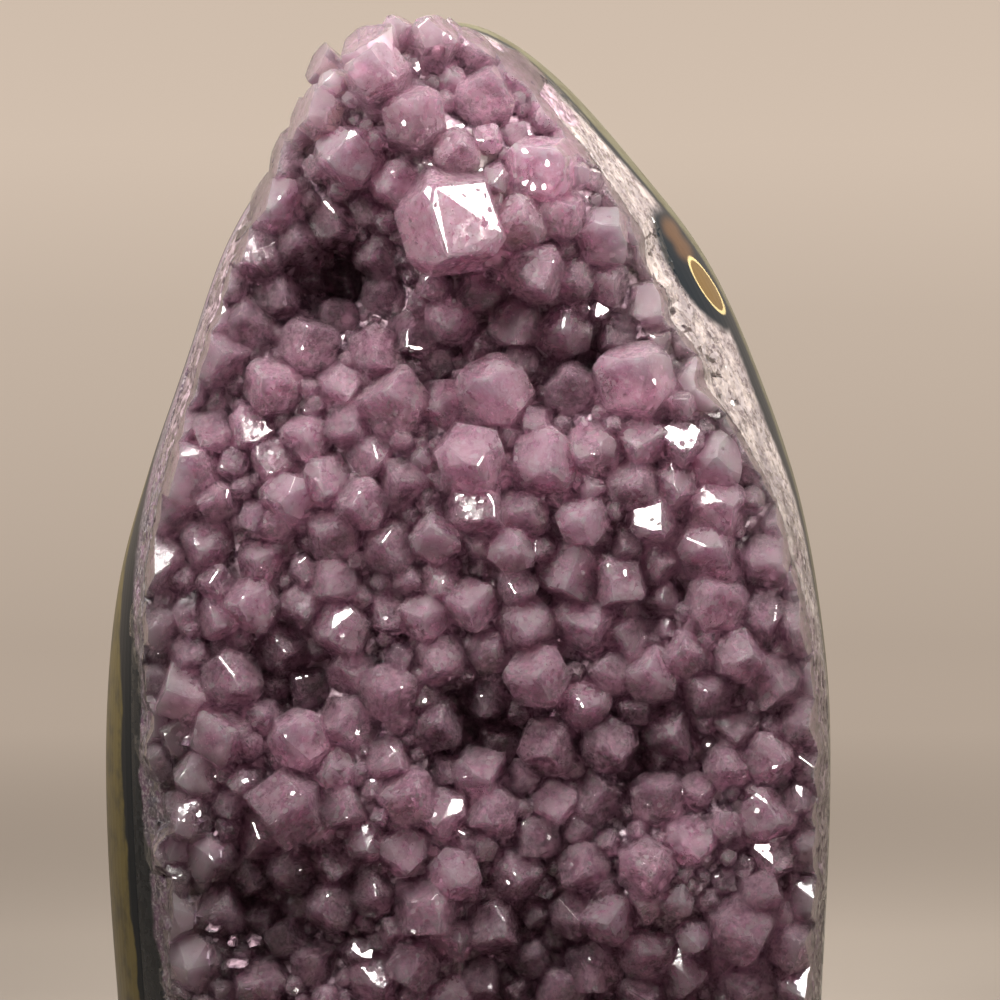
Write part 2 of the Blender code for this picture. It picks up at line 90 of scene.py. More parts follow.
@dataclass(frozen=True)
class Arch:
    """The slab's outline seen from the front, and the depth of its surfaces, which follow the outline.

    A control point is x, z, how far in the ground edge reaches, how far crystals hang over it, and the widths
    of bare quartz, olive skin, and skin and agate together, in millimetres. They run from the left foot over
    the top to the right foot. A bump is x, z, spread and height in millimetres. A layer of lumps is height,
    spread and a number for its noise.
    """

    control: tuple = (
        (-63.5, -12, 40, 0, 17, 5.4, 10.4), (-65.5, 25, 40, 0, 18, 5.8, 10.8),
        (-68.2, 66, 40, 0, 18, 6.0, 11.0), (-68.4, 96, 36, 0, 14, 4.6, 9.2),
        (-65.8, 121, 25, 0, 7, 1.9, 5.0), (-60.0, 142, 14, 0, 2, 0.7, 1.5),
        (-52.6, 163, 9, 0, 0.8, 0.5, 0.9), (-45.2, 184, 8, 0, 0.8, 0.5, 0.8),
        (-36.5, 199, 9, 2, 0.6, 0.5, 0.8), (-29.5, 208, 10, 9, 0, 0.5, 0.8),
        (-25.0, 217, 10, 9, 0, 0.5, 0.8), (-17.0, 223, 10, 9, 0, 0.6, 0.9), (-6.5, 226, 11, 8, 0, 1.0, 1.5),
        (4.5, 224.5, 11, 2, 0, 1.5, 2.2), (17.6, 215.2, 12, 0, 0.5, 1.6, 2.5),
        (32.8, 198.3, 20, 0, 6, 1.4, 2.0), (45.1, 182, 34, 0, 14, 1.0, 1.4),
        (54.6, 161.5, 30, 0, 12, 0.9, 3.0), (62.8, 137, 17, 0, 5, 1.1, 1.8),
        (67.3, 110, 10, 0, 2.6, 1.4, 1.7), (68.4, 85, 9, 0, 2.4, 1.5, 1.8), (67.2, 50, 9, 0, 2.4, 1.5, 1.8),
        (64.0, -12, 10, 0, 2.4, 1.5, 1.8),
    )
    height: float = 226 * MM
    half_width: float = 69 * MM
    spine_x: float = -1 * MM
    spine_top: float = 150 * MM
    centre: tuple = (0.1 * MM, 8.1 * MM)
    edge_back: float = 14 * MM
    edge_rise: float = 48 * MM
    polish_share: float = 0.22
    bare_share: float = 0.72
    ragged: float = 0.5
    ragged_size: float = 6 * MM
    polish_steep: float = 3.6
    back_reach: float = 24 * MM
    back_rise: float = 19 * MM
    back_foot: float = 30 * MM
    back_top: float = 16 * MM
    lumps: tuple = ((5 * MM, 24 * MM, 1), (2.5 * MM, 10 * MM, 0), (0.9 * MM, 3.6 * MM, 2),
                    (0.4 * MM, 1.5 * MM, 3))
    seat: float = -8 * MM
    seat_left: float = -8 * MM
    seat_right: float = -1.5 * MM
    seat_reach: float = 14 * MM
    seat_side: float = 45 * MM
    eye_place: tuple = (46 * MM, 180 * MM)
    eye_size: float = 13 * MM
    eye_rise: float = 9 * MM
    bed_rim: float = 22 * MM
    bed_crown: float = 27 * MM
    bed_reach: float = 17 * MM
    bed_rough: float = 2.2 * MM
    bed_rough_size: float = 15 * MM
    bumps: tuple = (
        (2, 196, 15, 10), (-17, 214, 12, 11), (17, 186, 12, 4), (-22, 179, 11, -11), (-2, 164, 9, -6),
        (22, 163, 7, -6), (-2, 145, 16, 4), (30, 148, 12, 4), (22, 119, 8, -5), (-33, 105, 9, -6),
        (3, 96, 10, -7), (33, 92, 10, -6), (-20, 88, 13, 4), (38, 68, 11, 4), (-34, 66, 11, -7),
        (16, 54, 12, -6), (-8, 66, 9, 3), (-22, 30, 12, 4), (26, 24, 13, 4), (2, 14, 10, -4),
    )
    curve_steps: int = 9
    slope_step: float = 3 * MM
    rough_skin: float = 1.2 * MM
    points_at_once: int = 2000

    @cached_property
    def outline(self) -> np.ndarray:
        """The ground outline, as curve gives it."""
        return self.curve(0)

    def curve(self, overhanging: float) -> np.ndarray:
        """Draws the outline as a Catmull-Rom curve.

        Args:
            overhanging: 0 for the ground outline, 1 for the one that the crystals reach.

        Returns:
            Rows of x, z, reach, and the widths of bare quartz, of skin, and of skin and agate, in metres.
        """
        rows = []
        for x, z, reach, overhang, *widths in self.control:
            point = np.array([x, z]) * MM
            away = point - np.array([self.spine_x, self.spine_top])
            shift = overhanging * overhang * MM * away / np.linalg.norm(away)
            rows.append([*(point + shift), reach * MM, *(width * MM for width in widths)])
        points = np.array(rows)
        padded = np.vstack([2 * points[0] - points[1], points, 2 * points[-1] - points[-2]])
        t = np.linspace(0, 1, self.curve_steps, endpoint=False)[:, None]
        pieces = [0.5 * (2 * b + (c - a) * t + (2 * a - 5 * b + 4 * c - d) * t**2
                         + (3 * b - a - 3 * c + d) * t**3)
                  for a, b, c, d in zip(padded, padded[1:], padded[2:], padded[3:])]
        return np.vstack([*pieces, points[-1:]])

    def stations(self, curve: np.ndarray, flank_steps: int, cap_steps: int) -> np.ndarray:
        """Picks points along the outline, level with each other on the flanks and even over the top.

        Args:
            curve: the outline's rows.
            flank_steps: steps on each flank.
            cap_steps: steps over the top.

        Returns:
            Rows of x, z and reach.
        """
        curve = curve[:, :3]
        apex = int(np.argmax(curve[:, 1]))
        levels = np.linspace(0, self.spine_top, flank_steps + 1)
        rising, falling = curve[:apex], curve[apex:][::-1]
        left = np.column_stack([np.interp(levels, rising[:, 1], rising[:, k]) for k in range(3)])
        right = np.column_stack([np.interp(levels, falling[:, 1], falling[:, k]) for k in range(3)])[::-1]
        cap = np.vstack([left[-1], curve[curve[:, 1] > self.spine_top], right[0]])
        along = np.concatenate([[0], np.cumsum(np.linalg.norm(np.diff(cap[:, :2], axis=0), axis=1))])
        even = np.linspace(0, along[-1], cap_steps + 1)
        cap = np.column_stack([np.interp(even, along, cap[:, k]) for k in range(3)])
        return np.vstack([left, cap[1:-1], right])

    def measure(self, points: np.ndarray, curve: np.ndarray | None = None) -> tuple[np.ndarray, np.ndarray]:
        """Measures points against an outline.

        Args:
            points: rows of x and z.
            curve: the outline's rows, or None for the ground outline.

        Returns:
            How far each lies inside the outline, below zero outside it, and the reach and widths there.
        """
        insets, widths = [], []
        curve = self.outline if curve is None else curve
        starts, spans = curve[:-1], np.diff(curve, axis=0)
        flat = spans[:, :2]
        lengths = (flat**2).sum(axis=1)
        for block in np.array_split(points, max(1, len(points) // self.points_at_once)):
            from_start = block[:, None, :] - starts[None, :, :2]
            share = np.clip((from_start * flat).sum(axis=2) / lengths, 0, 1)
            away = from_start - flat * share[:, :, None]
            distance = np.linalg.norm(away, axis=2)
            nearest = distance.argmin(axis=1)
            rows = np.arange(len(block))
            near = away[rows, nearest]
            side = flat[nearest, 0] * near[:, 1] - flat[nearest, 1] * near[:, 0]
            insets.append(np.copysign(distance[rows, nearest], -side))
            widths.append(starts[nearest, 2:] + spans[nearest, 2:] * share[rows, nearest][:, None])
        return np.concatenate(insets), np.concatenate(widths)

    def edge_y(self, inset: np.ndarray, reach: np.ndarray) -> np.ndarray:
        """Gives the depth of the ground and polished edge."""
        left = 1 - np.clip(inset / reach, 0, 1)
        return self.edge_back - self.edge_rise * np.sqrt(1 - left**2)

    def trim_y(self, points: np.ndarray, inset: np.ndarray, widths: np.ndarray) -> np.ndarray:
        """Gives the polished edge, and past its ragged end a slope that stays in front of the crystals.

        Args:
            points: rows of x and z.
            inset: how far the points lie inside the outline.
            widths: the reach and widths there.

        Returns:
            The depth at each point.
        """
        reach = widths[:, 0]
        end = np.maximum(self.polish_share * reach, self.bare_share * widths[:, 1])
        end = end * (1 + self.ragged * noise_field(points, self.spine_top, self.ragged_size))
        return self.edge_y(np.minimum(inset, end), reach) - np.maximum(inset - end, 0) * self.polish_steep

    def side_y(self, inset: np.ndarray) -> np.ndarray:
        """Gives the side and the rounding towards the back."""
        left = 1 - np.clip(inset / self.back_reach, 0, 1)
        return self.edge_back + self.back_rise * np.sqrt(1 - left**2)

    def back_y(self, points: np.ndarray) -> np.ndarray:
        """Gives the lumpy back of the rind, which leans forward towards the top.

        Args:
            points: rows of x and z.

        Returns:
            The depth at each point.
        """
        depth = self.back_foot + (self.back_top - self.back_foot) * np.clip(points[:, 1] / self.height, 0, 1)
        for size, spread, layer in self.lumps:
            plane = self.height if layer == 1 else layer * self.spine_top
            depth += size * noise_field(points, plane, spread)
        return depth

    def seat_y(self, points: np.ndarray) -> np.ndarray:
        """Gives where the crust meets the rind.

        Args:
            points: rows of x and z.

        Returns:
            The depth at each point.
        """
        across = (np.clip(points[:, 0] / self.seat_side, -1, 1) + 1) / 2
        rim = self.seat_left + (self.seat_right - self.seat_left) * across
        inset = self.measure(points)[0]
        eye = ((points - np.array(self.eye_place)) ** 2).sum(axis=1) / self.eye_size**2
        return self.seat + rim * np.exp(-((inset / self.seat_reach) ** 2)) - self.eye_rise * np.exp(-eye)

    def crown(self, inset: np.ndarray) -> np.ndarray:
        """Gives how far the bed stands out, without its swells and hollows."""
        rising = 1 - np.exp(-np.maximum(inset, 0) / self.bed_reach)
        return self.bed_rim + (self.bed_crown - self.bed_rim) * rising

    def bed_y(self, points: np.ndarray) -> np.ndarray:
        """Gives the surface that the crystals stand on.

        Args:
            points: rows of x and z.

        Returns:
            The depth at each point.
        """
        crown = self.crown(self.measure(points)[0])
        for x, z, spread, height in self.bumps:
            away = ((points[:, 0] / MM - x) ** 2 + (points[:, 1] / MM - z) ** 2) / spread**2
            crown += height * MM * np.exp(-away)
        return -crown - self.bed_rough * noise_field(points, self.height, self.bed_rough_size)

    def bed_normals(self, points: np.ndarray) -> np.ndarray:
        """Gives the outward direction of the bed, from its slope.

        Args:
            points: rows of x and z.

        Returns:
            Rows of unit vectors.
        """
        step_x, step_z = np.array([self.slope_step, 0]), np.array([0, self.slope_step])
        slope_x = self.bed_y(points + step_x) - self.bed_y(points - step_x)
        slope_z = self.bed_y(points + step_z) - self.bed_y(points - step_z)
        normals = np.column_stack([slope_x, np.full(len(points), -2 * self.slope_step), slope_z])
        return normals / np.linalg.norm(normals, axis=1)[:, None]


def noise_field(points: np.ndarray, plane: float, size: float) -> np.ndarray:
    """Reads smooth noise at points of a plane.

    Args:
        points: rows of x and z.
        plane: the y of the plane.
        size: the size of the noise's features.

    Returns:
        A value from -1 to 1 at each point.
    """
    return np.array([noise.noise(Vector((x, plane, z)) / size) for x, z in points])


def new_object(name: str, build: bmesh.types.BMesh) -> bpy.types.Object:
    """Makes an object in the scene from a bmesh, which is freed.

    Args:
        name: the object's name.
        build: the shape.

    Returns:
        The object.
    """
    mesh = bpy.data.meshes.new(name)
    build.to_mesh(mesh)
    build.free()
    obj = bpy.data.objects.new(name, mesh)
    bpy.context.scene.collection.objects.link(obj)
    return obj


def join(obj: bpy.types.Object, joining: Joining, others: list[bpy.types.Object]) -> None:
    """Combines an object with others, which are used up.

    Args:
        obj: the object that changes.
        joining: how the shapes are combined.
        others: the shapes that it is combined with, one after the other.
    """
    for other in others:
        step = obj.modifiers.new(other.name, "BOOLEAN")
        step.operation = joining.value
        step.solver = "MANIFOLD"
        step.object = other
    graph = bpy.context.evaluated_depsgraph_get()
    mesh = bpy.data.meshes.new_from_object(obj.evaluated_get(graph))
    obj.modifiers.clear()
    obj.data = mesh
    for other in others:
        bpy.data.objects.remove(other)


@dataclass(frozen=True)
class SlabBlank:
    """Makes the closed bodies that the pieces are cut from, at the fineness given here."""

    arch: Arch
    flank_steps: int = 60
    cap_steps: int = 100
    rings: int = 20
    ring_end: float = 0.5
    ring_bend: float = 1.7
    inner_rings: tuple = (0.55, 0.7, 0.85, 1.0)
    ring_limit: float = 0.45
    weld: float = 0.01 * MM
    half_width: float = 84 * MM
    low: float = -14 * MM
    high: float = 246 * MM
    far: float = 60 * MM

    def arch_solid(self, name: str, curve: np.ndarray, trimmed: bool, sunk: float = 0.0) -> bpy.types.Object:
        """Makes a closed body over the arch, flat at z = 0.

        Args:
            name: the object's name.
            curve: the outline's rows.
            trimmed: whether the front stays in front of the crystals past the polish.
            sunk: how far the front lies behind the polished face.

        Returns:
            The body.
        """
        stations = self.arch.stations(curve, self.flank_steps, self.cap_steps)
        last = self.rings + len(self.inner_rings)
        order = [(-1, k) for k in range(last, -1, -1)] + [(1, k) for k in range(1, last + 1)]
        build = bmesh.new()
        bmesh.ops.create_grid(build, x_segments=len(stations) - 1, y_segments=len(order) - 1, size=1)
        columns = [round((vert.co.x + 1) / 2 * (len(stations) - 1)) for vert in build.verts]
        sides = np.array([order[round((vert.co.y + 1) / 2 * (len(order) - 1))] for vert in build.verts])
        rims = stations[columns]
        spine_z = np.minimum(rims[:, 1], self.arch.spine_top)
        spine = np.column_stack([np.full(len(rims), self.arch.spine_x), spine_z])
        inward = spine - rims[:, :2]
        span = np.linalg.norm(inward, axis=1)
        front = sides[:, 0] < 0
        reach = np.where(front, rims[:, 2], self.arch.back_reach)
        outer = self.ring_end * (sides[:, 1] / self.rings) ** self.ring_bend * reach / span
        inner = np.array([0.0, *self.inner_rings])[np.maximum(sides[:, 1] - self.rings, 0)]
        share = np.where(sides[:, 1] <= self.rings, np.minimum(outer, self.ring_limit), inner)
        places = rims[:, :2] + inward * share[:, None]
        inset, widths = self.arch.measure(places, curve)
        inset[sides[:, 1] == 0] = 0
        face = self.arch.trim_y(places, inset, widths) if trimmed else self.arch.edge_y(inset, widths[:, 0])
        depth = np.where(front, face + sunk, self.arch.side_y(inset))
        for vert, place, y in zip(build.verts, places, depth):
            vert.co = (place[0], y, place[1])
        bmesh.ops.remove_doubles(build, verts=build.verts, dist=self.weld)
        return self.closed(name, build)

    def field_block(self, name: str, depth_of: Callable[[np.ndarray], np.ndarray], cell: float,
                    behind: bool = True) -> bpy.types.Object:
        """Makes a block, larger than the arch, with one side that follows a depth function.

        Args:
            name: the object's name.
            depth_of: takes rows of x and z and returns their depths.
            cell: the size of its grid's cells.
            behind: whether the block lies behind that side, and not in front of it.

        Returns:
            The block.
        """
        tall = self.high - self.low
        columns, rows = round(2 * self.half_width / cell), round(tall / cell)
        build = bmesh.new()
        bmesh.ops.create_grid(build, x_segments=columns, y_segments=rows, size=1)
        places = np.array([[vert.co.x * self.half_width, self.low + (vert.co.y + 1) / 2 * tall]
                           for vert in build.verts])
        for vert, place, y in zip(build.verts, places, depth_of(places)):
            vert.co = (place[0], y, place[1])
        rim = [edge for edge in build.edges if edge.is_boundary]
        wall = bmesh.ops.extrude_edge_only(build, edges=rim)["geom"]
        for vert in (item for item in wall if isinstance(item, bmesh.types.BMVert)):
            vert.co.y = self.far if behind else -self.far
        return self.closed(name, build)

    def closed(self, name: str, build: bmesh.types.BMesh) -> bpy.types.Object:
        """Closes a body's flat side, turns its faces outwards and makes it an object."""
        bmesh.ops.holes_fill(build, edges=build.edges, sides=0)
        bmesh.ops.recalc_face_normals(build, faces=build.faces)
        return new_object(name, build)


@dataclass(frozen=True)
class Site:
    """Where one crystal grew: place, radius and rise in metres, lean and spin in degrees, and its seed."""

    x: float
    z: float
    radius: float
    lean_right: float
    lean_up: float
    spin: float
    rise: float
    seed: int


@dataclass(frozen=True)
class QuartzHabit:
    """The form of one quartz point: a six-sided prism under six rhomb faces, three of them large."""

    sides: int = 6
    slope: float = math.radians(51.8)
    root_taper: float = 0.92
    tip_rise: float = 0.7
    small_face_shift: tuple = (0.02, 0.22)
    large_face_shift: tuple = (-0.10, 0.04)
    unevenness: tuple = (0.6, 1.4)
    edge_width: float = 0.035
    bevelled_from: float = 2.6 * MM
    bevelled_share: float = 0.6
    root: float = 4 * MM

    def shape(self, radius: float, length: float, rng: random.Random) -> bmesh.types.BMesh:
        """Cuts one point along +Z, with its tip near the origin.

        Args:
            radius: the radius of the prism's corners.
            length: the length from tip to root.
            rng: the source of its unevenness.

        Returns:
            The closed shape.
        """
        build = bmesh.new()
        bmesh.ops.create_cone(build, cap_ends=True, segments=self.sides, radius1=radius * self.root_taper,
                              radius2=radius, depth=length)
        bmesh.ops.translate(build, verts=build.verts, vec=(0, 0, -length / 2))
        uneven = rng.uniform(*self.unevenness)
        for side in range(self.sides):
            turn = (side + 0.5) * 2 * math.pi / self.sides
            shift = self.large_face_shift if side % 2 else self.small_face_shift
            offset = radius * uneven * rng.uniform(*shift)
            outward = Vector((math.cos(turn), math.sin(turn), 0)) * math.sin(self.slope)
            outward.z = math.cos(self.slope)
            bmesh.ops.bisect_plane(build, geom=build.verts[:] + build.edges[:] + build.faces[:],
                                   plane_co=outward * offset, plane_no=outward, clear_outer=True)
            bmesh.ops.holes_fill(build, edges=build.edges[:], sides=0)
        if radius > self.bevelled_from:
            lowest = -length * self.bevelled_share
            top = [edge for edge in build.edges if max(vert.co.z for vert in edge.verts) > lowest]
            bmesh.ops.bevel(build, geom=top, offset=radius * self.edge_width, offset_type="OFFSET",
                            segments=1, profile=0.5, affect="EDGES", material=-1, clamp_overlap=True)
        return build


@dataclass
class AmethystPoints:
    """The amethyst points, grown together.

    A large crystal is x, z, radius, lean to the right, lean up, spin and rise over the bed, in millimetres
    and degrees. The rest is strewn in rounds of shrinking size: smallest and largest radius, tries, and the
    least and most rise, in radii.
    """

    arch: Arch
    blank: SlabBlank
    habit: QuartzHabit
    large: tuple = (
        (-2.5, 190.5, 10.5, 8, -12, 81, 10), (5.5, 158, 7.8, -4, 4, 28, 7),
        (-50, 143.5, 7.4, -26, 2, 12, 5.5), (-12.5, 156, 7.2, -12, 10, 40, 6),
        (0.5, 147, 7.2, 4, -4, 20, 7), (14, 146.5, 7.0, 10, -4, 50, 6), (30, 160, 8.2, 14, 12, 18, 6.5),
        (12, 181, 6.2, 12, -6, 33, 6), (12.5, 197.5, 7.4, 16, 14, 5, 6), (-19.5, 201, 6.6, -16, 4, 22, 7),
        (-16, 216.5, 5.6, -14, 34, 9, 8), (-15, 213.5, 6.0, -8, 26, 44, 7),
        (-6.5, 218.5, 4.9, 6, 36, 15, 7), (1, 219, 5.0, 14, 40, 31, 5), (-26, 217, 4.2, -34, 26, 2, 7),
        (-28, 207, 4.6, -40, 12, 26, 6), (-24, 208, 5.4, -24, 16, 51, 6), (-9, 206.5, 6.4, -4, 20, 12, 6),
        (3, 210, 6.4, 10, 24, 38, 5), (24, 186, 6.0, 20, 10, 20, 5), (33.5, 174, 5.4, 18, -8, 46, 4),
        (20.5, 117.5, 6.3, 6, -8, 10, 7), (13, 107, 6.6, 2, 6, 29, 7.5), (25, 95.5, 6.0, 4, -12, 0, 6.5),
        (37, 96.5, 6.0, 12, 8, 36, 6), (1.5, 89, 6.0, 14, -16, 14, 6.5), (-6, 98, 6.0, -8, 10, 45, 6),
        (-29, 95, 6.4, -14, 6, 19, 6), (-31.5, 84.5, 7.6, -10, -10, 3, 6.5), (-48, 89, 5.6, -26, 0, 34, 4),
        (26, 63.5, 5.6, 8, 4, 24, 6), (48.5, 62, 7.2, 16, -8, 6, 7.5), (51.5, 67, 4.8, 22, 12, 48, 6.5),
        (62, 75.5, 5.6, 34, 2, 17, 4), (-9, 56.5, 5.2, -6, -18, 27, 6), (-23, 65, 5.4, -8, 4, 41, 6),
        (-31, 72, 6.0, -12, 8, 11, 5), (43, 130, 6.6, 18, 6, 30, 5), (44.5, 137.5, 6.2, 22, 2, 8, 5),
        (54, 128, 5.6, 28, -4, 21, 4), (33, 136, 5.0, 8, -10, 52, 5), (-31.5, 140, 5.4, -14, -8, 16, 5.5),
        (-18, 138.5, 5.6, -6, 4, 37, 5.5), (21, 135.5, 5.4, 2, 8, 23, 5.5), (-44, 139, 4.6, -26, -4, 4, 4),
        (8, 130, 5.0, 4, 12, 49, 5), (-7, 118, 5.2, -8, 2, 13, 5), (-38, 120, 6.0, -16, 6, 32, 5),
    )
    strewn: tuple = ((5.4, 6.6, 900, 0.3, 0.9), (4.6, 5.6, 3000, 0.3, 0.9))
    strewn_small: tuple = ((3.2, 4.4, 4000, 0.4, 1.3), (2.2, 3.2, 7000, 0.5, 1.6),
                           (1.3, 2.2, 12000, 0.6, 1.8))
    seed: int = 41
    small_seed: int = 77
    edge: float = 2.6 * MM
    lean: float = 13
    small_lean: float = 19
    closeness: float = 0.62
    small_closeness: float = 0.66
    set_reach: float = 1.9
    set_gap: float = 1 * MM
    sunk: float = 0.12 * MM
    seed_stride: int = 1000

    def strew(self, sites: list[Site], rounds: tuple, rng: random.Random, lean: float,
              closeness: float) -> None:
        """Adds sites wherever a try lands clear of the earlier ones.

        Args:
            sites: the sites so far, which grow.
            rounds: the rounds of tries.
            rng: the source of the tries.
            lean: the spread of the leans, in degrees.
            closeness: the least distance of two sites, as a share of their radii's sum.
        """
        for smallest, largest, tries, least, most in rounds:
            batch = []
            for _ in range(tries):
                x = rng.uniform(-self.arch.half_width, self.arch.half_width)
                z = rng.uniform(0, self.arch.height)
                radius = rng.uniform(smallest, largest) * MM
                leans = rng.gauss(0, lean), rng.gauss(0, lean)
                spin, rise = rng.uniform(0, 360), rng.uniform(least, most) * radius
                batch.append((x, z, radius, *leans, spin, rise))
            insets = self.arch.measure(np.array([row[:2] for row in batch]))[0]
            taken = np.array([(site.x, site.z, site.radius) for site in sites])
            for row, inset in zip(batch, insets):
                if inset < self.edge:
                    continue
                apart = np.hypot(taken[:, 0] - row[0], taken[:, 1] - row[1])
                if (apart > closeness * (row[2] + taken[:, 2])).all():
                    sites.append(Site(*row, seed=len(sites)))
                    taken = np.vstack([taken, [row[0], row[1], row[2]]])

    def grow_sites(self) -> list[Site]:
        """Lists every crystal's site, the large ones first.

        Returns:
            The sites.
        """
        sites = [Site(x * MM, z * MM, radius * MM, right, up, spin, rise * MM, number)
                 for number, (x, z, radius, right, up, spin, rise) in enumerate(self.large)]
        self.strew(sites, self.strewn, random.Random(self.seed), self.lean, self.closeness)
        self.strew(sites, self.strewn_small, random.Random(self.small_seed), self.small_lean,
                   self.small_closeness)
        return sites

    def place(self, site: Site, foot_y: float, normal: np.ndarray) -> tuple[Matrix, Vector, float]:
        """Finds where a crystal stands.

        Args:
            site: the crystal's site.
            foot_y: the bed's depth there.
            normal: the bed's outward direction there.

        Returns:
            The matrix that turns +Z to its axis, its tip and its length.
        """
        outward = (Vector(normal) + Vector((0, -1, 0))).normalized()
        axis = (Matrix.Rotation(math.radians(site.lean_right), 3, "Z")
                @ Matrix.Rotation(math.radians(-site.lean_up), 3, "X") @ outward)
        tip_height = site.rise + site.radius * self.habit.tip_rise
        tip = Vector((site.x, foot_y, site.z)) + axis * tip_height
        turn = axis.to_track_quat("Z", "Y").to_matrix().to_4x4()
        matrix = Matrix.Translation(tip) @ turn @ Matrix.Rotation(math.radians(site.spin), 4, "Z")
        return matrix, tip, tip_height + site.radius + self.habit.root

    def grow_sets(self) -> list[bpy.types.Object]:
        """Grows all crystals as a few meshes. Those in one mesh stand clear of each other.

        Returns:
            The meshes, each with a map "depth": the height in the crystal, in its radii, and its own tint.
        """
        sites = self.grow_sites()
        spots = np.array([[site.x, site.z] for site in sites])
        feet = self.arch.bed_y(spots)
        normals = self.arch.bed_normals(spots)
        groups: list[tuple[list, list]] = []
        for site, foot, normal in zip(sites, feet, normals):
            matrix, tip, length = self.place(site, foot, normal)
            for items, tips in groups:
                known = np.array(tips)
                apart = np.linalg.norm(known[:, :3] - np.array(tip), axis=1)
                if (apart > self.set_reach * (site.radius + known[:, 3]) + self.set_gap).all():
                    break
            else:
                items, tips = [], []
                groups.append((items, tips))
            items.append((site, matrix, length))
            tips.append([*tip, site.radius])
        LOG.info("%d crystals in %d sets", len(sites), len(groups))
        return [self.grow_set(f"crystal_set_{number}", items) for number, (items, _tips) in enumerate(groups)]

    def grow_set(self, name: str, items: list) -> bpy.types.Object:
        """Grows the crystals of one set.

        Args:
            name: the object's name.
            items: each crystal's site, matrix and length.

        Returns:
            The object.
        """
        build = bmesh.new()
        depth = build.loops.layers.uv.new("depth")
        for site, matrix, length in items:
            rng = random.Random(self.seed * self.seed_stride + site.seed)
            one = self.habit.shape(site.radius, length, rng)
            mesh = bpy.data.meshes.new("crystal")
            one.to_mesh(mesh)
            one.free()
            grown = len(build.faces)
            build.from_mesh(mesh)
            bpy.data.meshes.remove(mesh)
            build.faces.ensure_lookup_table()
            tint = rng.random()
            verts = []
            for face in build.faces[grown:]:
                for loop in face.loops:
                    loop[depth].uv = (loop.vert.co.z / site.radius, tint)
                verts.extend(face.verts)
            bmesh.ops.transform(build, matrix=matrix, verts=list(dict.fromkeys(verts)))
        return new_object(name, build)

    def build(self) -> bpy.types.Object:
        """Grows the crystals together and grinds them where the edge was ground.

        Returns:
            The piece.
        """
        points, *others = self.grow_sets()
        join(points, Joining.UNION, others)
        join(points, Joining.INTERSECT, [self.blank.arch_solid("trim", self.arch.curve(1), True, self.sunk)])
        points.name = "amethyst_points"
        return centred(points, self.arch)


@dataclass
class QuartzBed:
    """The pale quartz that the points stand on, with its ground and polished edge.

    The bare quartz stands out by the two heights of bare_rise at the two places of bare_rise_x.
    """

    arch: Arch
    blank: SlabBlank
    cell: float = 1.25 * MM
    seat_cell: float = 6 * MM
    seat_gap: float = 0.05 * MM
    relief: tuple = ((0.9 * MM, 2.6 * MM), (0.5 * MM, 1.1 * MM))
    bare_spread: float = 0.6
    bare_size: float = 6 * MM
    bare_fray: float = 0.8
    bare_fray_size: float = 2.4 * MM
    bare_rise: tuple = (0.35 * MM, -0.7 * MM)
    bare_rise_x: tuple = (-22 * MM, 0.0)
    bare_pits: tuple = ((1.9 * MM, 4.2 * MM), (1.3 * MM, 1.9 * MM))
    bare_slope: float = 2.6

    def surface(self, points: np.ndarray) -> np.ndarray:
        """Gives the bed with its fine relief, raised to the polished face where the quartz is bare.

        Args:
            points: rows of x and z.

        Returns:
            The depth at each point.
        """
        depth = self.arch.bed_y(points)
        for height, size in self.relief:
            depth += height * noise_field(points, self.arch.spine_top, size)
        inset, widths = self.arch.measure(points)
        fray = self.bare_fray * noise_field(points, self.arch.height, self.bare_fray_size)
        bare = widths[:, 1] * (1 + self.bare_spread * noise_field(points, 0, self.bare_size) + fray)
        past = np.maximum(inset - bare, 0)
        rise = np.interp(points[:, 0], self.bare_rise_x, self.bare_rise)
        face = self.arch.edge_y(np.maximum(np.minimum(inset, bare), 0), widths[:, 0]) - rise
        for height, size in self.bare_pits:
            face += height * noise_field(points, self.arch.height, size)
        return np.minimum(depth, face + past * self.bare_slope)

    def build(self) -> bpy.types.Object:
        """Cuts the bed from its blanks.

        Returns:
            The piece.
        """
        bed = self.blank.field_block("quartz_bed", self.surface, self.cell)
        join(bed, Joining.INTERSECT, [self.blank.arch_solid("trim", self.arch.outline, True)])
        seat = self.blank.field_block("seat", lambda points: self.arch.seat_y(points) - self.seat_gap,
                                      self.seat_cell)
        join(bed, Joining.DIFFERENCE, [seat])
        return centred(bed, self.arch)


@dataclass
class AgateRind:
    """The agate and basalt behind the crust, with its polished side and rough back."""

    arch: Arch
    blank: SlabBlank
    cell: float = 1.8 * MM
    seat_cell: float = 6 * MM

    def build(self) -> bpy.types.Object:
        """Cuts the rind from its blanks.

        Returns:
            The piece.
        """
        rind = self.blank.arch_solid("rind_body", self.arch.outline, False)
        join(rind, Joining.INTERSECT, [self.blank.field_block("lumps", self.arch.back_y, self.cell, False)])
        join(rind, Joining.INTERSECT, [self.blank.field_block("seat", self.arch.seat_y, self.seat_cell)])
        return centred(rind, self.arch)


